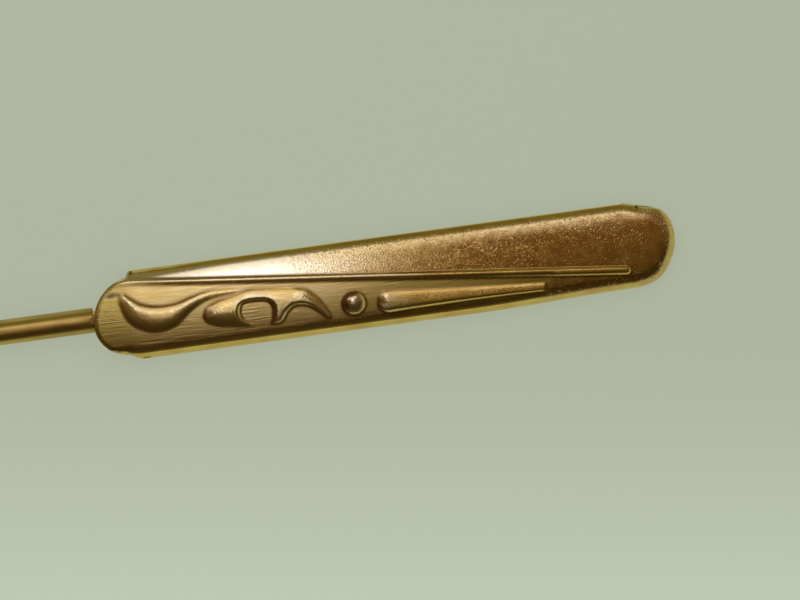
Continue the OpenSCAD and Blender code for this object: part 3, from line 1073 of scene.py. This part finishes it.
def back_strip():
    """The slot's outline drawn in from its edge, with quarter-round corners of STRIP_SOFT."""
    wide = plate_high[1]
    line, out = slot_ring(plate_low[0] + wide, plate_high[0] - wide, STRIP_ROUND)
    turn = np.radians(np.linspace(0, 90, STRIP_CORNER))
    soft = wide - STRIP_SOFT + STRIP_SOFT * np.sin(turn)
    drop = STRIP_SOFT - STRIP_SOFT * np.cos(turn)
    flat = np.linspace(0, wide - STRIP_SOFT, STRIP_FLAT)[1:-1]
    away = np.concatenate([flat, soft, soft[::-1], flat[::-1]])
    high = np.concatenate([np.full(flat.size, plate_high[2]), plate_high[2] - drop])
    low = np.concatenate([plate_low[2] + drop[::-1], np.full(flat.size, plate_low[2])])
    level = np.concatenate([high, low])
    x = line[None, :] + away[:, None] * out[None, :, 0]
    y = away[:, None] * out[None, :, 1]
    return closed_tube(np.stack([x, y, np.broadcast_to(level[:, None], x.shape)], axis=-1))


back_strip_piece = make_piece("back_strip", *back_strip(), "back_plate", "plain_gold")

# %% [markdown]
# ## The stem
#
# The stem is drawn wire, ground to a long point, with a square tang that goes into the head. It is one
# tube: at each place along X a ring whose radius is the point's, the wire's or the tang's. The tang's ring
# is a circle squeezed into a square with small round corners, and the wire ends in a small shoulder there.

# %% Stem
STEM_R = stem_high[1]
POINT_LEN = 14.0
TIP_R = 0.05
SHOULDER = 0.03
SHOULDER_BEND = 0.3
MOUTH_GAP = 0.01
TANG_FIRMNESS = 14
STEM_AROUND = 64
POINT_RINGS = 40
SHAFT_RINGS = 60
TANG_RINGS = 12


def stem_wire():
    """Rings along X: an even taper, the wire, its shoulder and the tang.

    The tang's ring is a soft square, its half width / (|cos|^p + |sin|^p)^(1 / p), where p is its firmness.
    """
    turn = np.linspace(0, 2 * np.pi, STEM_AROUND, endpoint=False)
    share = np.linspace(0, 1, POINT_RINGS)
    point_x = stem_low[0] + POINT_LEN * share
    point_r = TIP_R + (STEM_R - TIP_R) * share
    shaft_x = np.linspace(point_x[-1], 0, SHAFT_RINGS)[1:-1]
    mouth_x = head_x - MOUTH_GAP
    bend = SHOULDER * np.array([0, SHOULDER_BEND, 1])
    tang_x = np.linspace(mouth_x, stem_high[0], TANG_RINGS)
    x = np.concatenate([point_x, shaft_x, mouth_x - bend[::-1], tang_x])
    wire_r = np.concatenate([point_r, np.full(shaft_x.size, STEM_R), STEM_R - bend])
    powers = np.abs([np.cos(turn), np.sin(turn)]) ** TANG_FIRMNESS
    square = tang_half / powers.sum(0) ** (1 / TANG_FIRMNESS)
    ring = np.concatenate([wire_r[:, None] * np.ones(STEM_AROUND), np.tile(square, (tang_x.size, 1))])
    along = np.broadcast_to(x[:, None], ring.shape)
    return closed_tube(np.stack([along, ring * np.cos(turn), ring * np.sin(turn)], axis=-1), flip=True)


stem_piece = make_piece("stem_wire", *stem_wire(), "stem", "stem_gold")

# %% [markdown]
# ## The solder
#
# Solder ran along both sides of the tang and froze in a hollow fillet. Each fillet is a small profile, a
# foot, an upright and a hollow face between them, carried along the tang. Its height and width waver a
# little, because it was never a machined shape. Two small beads stayed at the mouth of the head.

# %% Solder
SOLDER_LEAST = 0.03
SOLDER_WAVE = 0.09
RADIANS_PER_MM = (2.1, 0.9)
FILLET_RINGS = 70
FILLET_POINTS = 9
BEAD_RINGS = 12
BEAD_AROUND = 16
MOUTH_BEADS = [((-0.03, 0.09, 0.59), 0.05), ((-0.01, -0.14, 0.575), 0.06)]


def solder_fillet(side):
    """A three-sided profile with a hollow face, carried along X, uneven by a few slow waves."""
    along = np.linspace(solder_low[0], solder_high[0], FILLET_RINGS)[:, None]
    wide = solder_high[1] - tang_half
    tall = solder_high[2] - plate_top
    quick, slow = [waves * along for waves in RADIANS_PER_MM]
    wave = 1 - SOLDER_WAVE * (1 + np.sin(quick + side) * np.cos(slow))
    turn = np.linspace(0, np.pi / 2, FILLET_POINTS)[None, :]
    hollow_y = tang_half + wide * wave * (1 - np.sin(turn))
    hollow_z = plate_top + SOLDER_LEAST + (tall - SOLDER_LEAST) * wave * (1 - np.cos(turn))
    ones = np.ones_like(along)
    y = np.concatenate([hollow_y, tang_half * ones, tang_half + wide * wave * ones], axis=1)
    z = np.concatenate([hollow_z, plate_top * ones, plate_top * ones], axis=1)
    return closed_tube(np.stack([np.broadcast_to(along, y.shape), side * y, z], axis=-1), flip=side > 0)


def solder_bead(centre, radius):
    """A small ball of solder that stayed at the mouth: rings of a sphere with closed poles."""
    tilt = np.linspace(-np.pi / 2, np.pi / 2, BEAD_RINGS)[:, None]
    turn = np.linspace(0, 2 * np.pi, BEAD_AROUND + 1)[None, :-1]
    x = np.cos(tilt) * np.cos(turn)
    y = np.cos(tilt) * np.sin(turn)
    z = np.broadcast_to(np.sin(tilt), x.shape)
    ball = np.stack([x, y, z], axis=-1)[1:-1]
    return closed_tube(ball * radius + np.array(centre), flip=True)


def joined(shapes):
    """Several shapes as one list of points and faces."""
    starts = np.cumsum([0] + [len(points) for points, faces in shapes])
    faces = [[i + int(start) for i in face] for start, shape in zip(starts, shapes) for face in shape[1]]
    return np.concatenate([points for points, part in shapes]), faces


solder_shapes = [solder_fillet(side) for side in (1, -1)]
solder_shapes += [solder_bead(centre, radius) for centre, radius in MOUTH_BEADS]
solder_piece = make_piece("solder_fillets", *joined(solder_shapes), "stem_solder", "solder")

# %% [markdown]
# ## The stamped finish
#
# The face is gold-filled brass that has been worn for years. The ground round the ornament keeps its fine
# lines and is dull at both ends, with painted shade in streaks along its lower edge. The plain half is
# burnished and full of tiny dents and hairlines. It is painted pale at the left as a sheen and along its
# upper edge as a highlight, and brown at the right, partly tarnish and partly painted shade. Hollows hold
# brown tarnish, flanks that face up or to the left get the same brown as painted shade, and the crests are
# rubbed pale and painted as a highlight. An image could hold all this, but noises stay sharp from close by,
# and the maps in the mesh say where each kind of wear and painted shade belongs. They are gathered first,
# and then the colour is laid on in the order in which it came: metal, polish with its painted sheen, wear,
# and dirt with painted shade.

# %% Maps and noises
HANDLED_SPAN = (7, 16)


def attribute_of(start, name):
    """A number that the mesh holds at each point."""
    return start.node("ShaderNodeAttribute", {"attribute_name": name}, {}, "Fac")


def places_mm(start):
    """Object coordinates in millimetres."""
    at = start.node("ShaderNodeTexCoord", {}, {}, "Object")
    return at.stretch(1 / MM, 1 / MM, 1 / MM)


def hairlines(at, degrees, length, spacing):
    """Sparse thin scratches at an angle: stretched noise of which only the highest crests are kept."""
    turn = {"Vector": at, "Rotation": (0.0, 0.0, np.radians(degrees))}
    turned = at.node("ShaderNodeMapping", {}, turn)
    return turned.stretch(1 / length, 1 / spacing, 0).noise(2).step(0.62, 0.72)


def dots(at, spacing, least):
    """Tiny round spots, one in a cell of that size, and only in cells whose random number is over least."""
    cell = {"Vector": at, "Scale": 1 / spacing}
    near = 1 - at.node("ShaderNodeTexVoronoi", {}, cell, "Distance").step(0.1, 0.42)
    lot = at.node("ShaderNodeTexVoronoi", {}, cell, "Color")
    return near * at.node("ShaderNodeSeparateColor", {}, {"Color": lot}, "Red").step(least, 1.0)


def stamped_wear_and_shade(start):
    """All wires that the stamped finish is mixed from: the mesh's maps, places, and noises of many sizes."""
    wear_and_shade = SimpleNamespace(**{name: attribute_of(start, name) for name in [*finish_and_shade_maps, "inside"]})
    at = places_mm(start)
    wear_and_shade.along = at.part("X")
    wear_and_shade.across = at.part("Y")
    wear_and_shade.streaks = at.stretch(0.5, 9, 0).noise(3, 0.6)
    wear_and_shade.lines = 1.5 * at.stretch(0.6, 17, 0).noise(3) + 0.5 * wear_and_shade.streaks
    wear_and_shade.grain = at.stretch(17, 17, 17).noise(3)
    wear_and_shade.clouds = at.stretch(0.7, 0.7, 0.7).noise(3)
    wear_and_shade.mottle = at.stretch(2.2, 2.2, 2.2).noise(5, 0.65)
    wear_and_shade.sand = at.stretch(10, 10, 10).noise(3, 0.7)
    wear_and_shade.clusters = 0.4 + at.stretch(0.9, 0.9, 0.9).noise(2).step(0.35, 0.7) + 2.0 * wear_and_shade.rim
    wear_and_shade.scratches = hairlines(at, 55, 0.5, 0.06) + hairlines(at, -30, 0.6, 0.07)
    wear_and_shade.specks = dots(at, 0.07, 0.45) + dots(at, 0.12, 0.65)
    wear_and_shade.handled = wear_and_shade.along.step(*HANDLED_SPAN)
    wear_and_shade.marks = wear_and_shade.burnished * wear_and_shade.handled * wear_and_shade.clusters * (0.6 * wear_and_shade.specks + 0.25 * wear_and_shade.scratches)
    return wear_and_shade


print("the stamped finish reads", len(finish_and_shade_maps) + 1, "maps")

# %% Layers of colour
GOLD = colour(0.86, 0.62, 0.18)
GOLD_DEEP = colour(0.74, 0.48, 0.12)
GOLD_PALE = colour(0.92, 0.71, 0.3)
GOLD_RUBBED_AND_HIGHLIGHT = colour(0.95, 0.85, 0.56)
GOLD_BROWN = colour(0.62, 0.35, 0.105)
GOLD_OLIVE = colour(0.72, 0.49, 0.15)
GOLD_DULL = colour(0.68, 0.51, 0.13)
SCUFF_GREY = colour(0.25, 0.22, 0.18)
TARNISH_AND_SHADE = colour(0.28, 0.1, 0.04)
INSIDE_TARNISH_AND_SHADE = colour(0.14, 0.085, 0.03)
STREAK_SPAN = (0.38, 0.62)
DULL_TONGUE = (1.2, 2.6)
DULL_END = (11.5, 15)
RUBBED_SHEEN_END = (9.5, 15.5)
BROWN_AND_SHADE_START = (11, 18)
UPPER_HIGHLIGHT_EDGE = (1.15, 1.5)
LOWER_SHADE_EDGE = (1.1, 1.55)
SAND_START = (8.5, 11)
SAND_END = (16, 22)
CREST_END = (14, 18)


def lined_ground(wear_and_shade):
    """Cloudy gold, and on the ground pale streaks, dull on the tongue and from the ball on."""
    tone = wear_and_shade.clouds.step(0.35, 0.7).blend(GOLD, GOLD_DEEP)
    streaked = wear_and_shade.streaks.step(*STREAK_SPAN).blend(GOLD, GOLD_PALE)
    dulled = 1 - wear_and_shade.along.step(*DULL_TONGUE) + wear_and_shade.along.step(*DULL_END)
    return wear_and_shade.lined.blend(tone, dulled.blend(streaked, GOLD_DULL))


def plain_half(wear_and_shade, tone):
    """Painted sheen at the left, brown at the right as tarnish and painted shade, a painted highlight along
    the upper edge, pale in the marks and on the rim.
    """
    # Painted sheen: the left of the plain half is painted pale and rubbed where the soft panel's sheen
    # falls, turning to plain pale gold further right.
    rubbed = wear_and_shade.along.step(*RUBBED_SHEEN_END).blend(GOLD_RUBBED_AND_HIGHLIGHT, GOLD_PALE)
    brown = wear_and_shade.mottle.step(0.42, 0.6).blend(GOLD_BROWN, GOLD_OLIVE)
    # Painted shade: towards the right the plain half turns brown, partly real tarnish in the mottle and
    # partly painted shade where the face reflects the dark room.
    tone = wear_and_shade.burnished.blend(tone, wear_and_shade.along.step(*BROWN_AND_SHADE_START).blend(rubbed, brown))
    # Painted highlight: a pale band along the upper edge where the wide dim panel's line falls, partly real
    # rubbing of that edge.
    upper = wear_and_shade.across.step(*UPPER_HIGHLIGHT_EDGE) * wear_and_shade.mottle.step(0.3, 0.6) * wear_and_shade.burnished * wear_and_shade.handled
    tone = (0.8 * upper).blend(tone, GOLD_PALE)
    tone = (0.9 * wear_and_shade.marks + 0.4 * wear_and_shade.rim * wear_and_shade.burnished).blend(tone, GOLD_PALE)
    sand = wear_and_shade.sand.step(0.42, 0.58) * wear_and_shade.along.step(*SAND_START) * wear_and_shade.burnished
    return (0.6 * sand - 0.6 * wear_and_shade.along.step(*SAND_END)).blend(tone, GOLD_OLIVE)


def aged_and_shaded(wear_and_shade, tone):
    """Crests rubbed and painted as a highlight, tarnish in hollows and painted shade on flanks and in
    streaks along the lower edge, the scuff and a dark inside that is partly painted shade.
    """
    # Crests are rubbed pale, and the same pale tone paints a highlight on them, fading out towards the
    # right.
    tone = (wear_and_shade.crest - wear_and_shade.along.step(*CREST_END)).blend(tone, GOLD_RUBBED_AND_HIGHLIGHT)
    # Tarnish in the hollows, and painted shade on the flanks that face up or to the left.
    tone = (0.85 * wear_and_shade.hollow).blend(tone, TARNISH_AND_SHADE)
    # Painted shade: brown streaks along the lower edge of the ground, where the face turns down away from
    # the light.
    lower_painted_shade = wear_and_shade.lined * (0 - wear_and_shade.across).step(*LOWER_SHADE_EDGE) * wear_and_shade.streaks.step(*STREAK_SPAN)
    tone = (0.7 * lower_painted_shade).blend(tone, TARNISH_AND_SHADE)
    tone = (wear_and_shade.scuff * wear_and_shade.mottle.step(0.3, 0.6)).blend(tone, SCUFF_GREY)
    # A dark inside and standing corner, partly tarnish and partly painted shade.
    return wear_and_shade.inside.blend(tone, INSIDE_TARNISH_AND_SHADE)


print("pale, plain and brown gold:", GOLD_PALE[:3], GOLD[:3], GOLD_BROWN[:3])

# %% Stamped gold
GRAIN_DEPTH = 0.01


def stamped_roughness(wear_and_shade):
    """Smoothest on the plain half, rougher on the ground, in hollows, marks and the scuff, and inside."""
    rough = 0.14 + 0.12 * wear_and_shade.lined + 0.02 * wear_and_shade.raised + 0.05 * wear_and_shade.grain
    rough = rough + 0.08 * wear_and_shade.hollow + 0.3 * wear_and_shade.inside + 0.15 * wear_and_shade.scuff
    return rough + 0.06 * wear_and_shade.marks + 0.06 * wear_and_shade.rim * wear_and_shade.burnished


def stamped_bumps(wear_and_shade):
    """Fine lines on the ground, grain on the raised forms, dents and scratches on the plain half."""
    fine = 0.4 * wear_and_shade.grain + 0.12 * wear_and_shade.scratches
    dents = wear_and_shade.handled * (0.4 * wear_and_shade.mottle + 0.7 * wear_and_shade.clusters * wear_and_shade.specks)
    return wear_and_shade.lined * wear_and_shade.lines + 0.9 * wear_and_shade.raised * wear_and_shade.grain + wear_and_shade.burnished * (fine + dents)


def metal(start, tone, roughness, bumps, depth_mm):
    """A metal surface of that tone and roughness, with its bumps and the material's output."""
    bump = start.node("ShaderNodeBump", {}, {"Height": bumps, "Distance": depth_mm * MM}, "Normal")
    sockets = {"Metallic": 1.0, "Normal": bump, "Base Color": tone, "Roughness": roughness}
    surface = start.node("ShaderNodeBsdfPrincipled", {}, sockets)
    start.node("ShaderNodeOutputMaterial", {}, {"Surface": surface})


def stamped_gold():
    """Lined ground, burnished plain half, brown hollows and rubbed crests."""
    material, start = new_material("stamped_gold")
    wear_and_shade = stamped_wear_and_shade(start)
    tone = aged_and_shaded(wear_and_shade, plain_half(wear_and_shade, lined_ground(wear_and_shade)))
    metal(start, tone, stamped_roughness(wear_and_shade), stamped_bumps(wear_and_shade), GRAIN_DEPTH)
    return material


stamped_face.data.materials.append(stamped_gold())
print("stamped gold has", len(stamped_face.data.materials[0].node_tree.nodes), "nodes")

# %% [markdown]
# ## The plain finishes
#
# The back strip is the same metal without any stamping, dulled by handling. The stem is drawn wire, so its
# marks run along it. The solder is a dull grey alloy with a grainy skin.

# %% Plain gold, stem gold and solder
HAIR_DEPTH = 0.004
STEM_BRASS = colour(0.72, 0.5, 0.13)
STEM_DARK = colour(0.46, 0.3, 0.09)
SOLDER_DARK = colour(0.5, 0.47, 0.42)
SOLDER_PALE = colour(0.66, 0.62, 0.56)


def plain_gold():
    """Handled sheet: hairlines along the strip, a few cloudy dull patches."""
    material, start = new_material("plain_gold")
    at = places_mm(start)
    hairs = at.stretch(0.4, 20, 20).noise(3)
    clouds = at.stretch(0.5, 0.5, 0.5).noise(3)
    tone = clouds.step(0.35, 0.7).blend(GOLD, GOLD_DEEP)
    metal(start, tone, 0.26 + 0.16 * clouds, hairs, HAIR_DEPTH)
    return material


def stem_gold():
    """Drawn wire: fine lines along it and darker tarnished stretches."""
    material, start = new_material("stem_gold")
    at = places_mm(start)
    lines = at.stretch(0.25, 18, 18).noise(3)
    clouds = at.stretch(0.3, 1.2, 1.2).noise(3)
    tone = clouds.step(0.3, 0.7).blend(STEM_BRASS, STEM_DARK)
    metal(start, tone, 0.28 + 0.12 * clouds, lines, HAIR_DEPTH)
    return material


def solder_grey():
    """Dull alloy with a grainy frozen skin."""
    material, start = new_material("solder_grey")
    grains = places_mm(start).stretch(9, 9, 9).noise(4)
    tone = grains.blend(SOLDER_DARK, SOLDER_PALE)
    metal(start, tone, 0.42 + 0.2 * grains, grains, GRAIN_DEPTH)
    return material


back_strip_piece.data.materials.append(plain_gold())
stem_piece.data.materials.append(stem_gold())
solder_piece.data.materials.append(solder_grey())
print("finishes:", sorted(material.name for material in bpy.data.materials))
